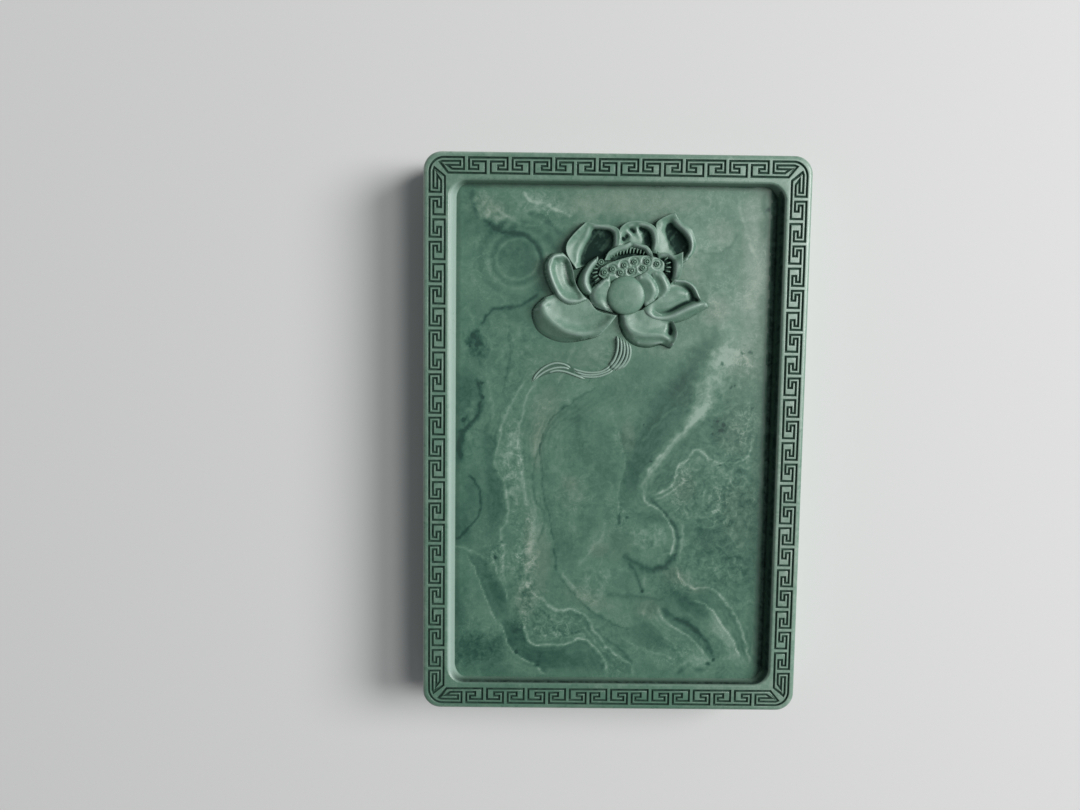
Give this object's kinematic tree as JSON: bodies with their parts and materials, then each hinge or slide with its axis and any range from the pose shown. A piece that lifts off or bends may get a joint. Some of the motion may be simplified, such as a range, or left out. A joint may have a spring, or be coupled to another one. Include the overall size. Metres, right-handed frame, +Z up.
{
  "type": "ink stone",
  "caption": "Flat rectangular carved stone slab with a shallow sunk ink pool, a key fret cut into the rim around it and a lotus in relief on the pool's floor.",
  "frame": {"origin": "middle of the flat underside, where the stone rests on a table", "axes": "+Z up out of the pool, +Y along the length towards the lotus, +X across the width"},
  "size_m": [0.136, 0.2, 0.025],
  "materials": {
    "veined_stone": "honed blue-green stone with pale flowing bands",
    "rim_stone": "plain grey-green stone, polished, with dark cut lines",
    "carved_stone": "grey-green stone, carved and polished"
  },
  "bodies": {
    "root": {"stone_body": "veined_stone", "fret_rim": "rim_stone", "lotus_bud": "carved_stone", "right_inner_petal": "carved_stone", "right_second_petal": "carved_stone", "left_inner_petal": "carved_stone", "left_cup_petal": "carved_stone", "lower_left_petal": "carved_stone", "right_petal": "carved_stone", "lower_right_petal": "carved_stone", "seed_pod": "carved_stone", "left_back_petal": "carved_stone", "middle_back_petal": "carved_stone", "right_back_petal": "carved_stone", "upper_middle_petal": "carved_stone", "upper_left_petal": "carved_stone", "upper_right_petal": "carved_stone", "leaf_blade": "carved_stone", "leaf_stalk": "carved_stone", "pod_seeds": "carved_stone", "fluted_stem": "carved_stone"}
  },
  "joints": []
}
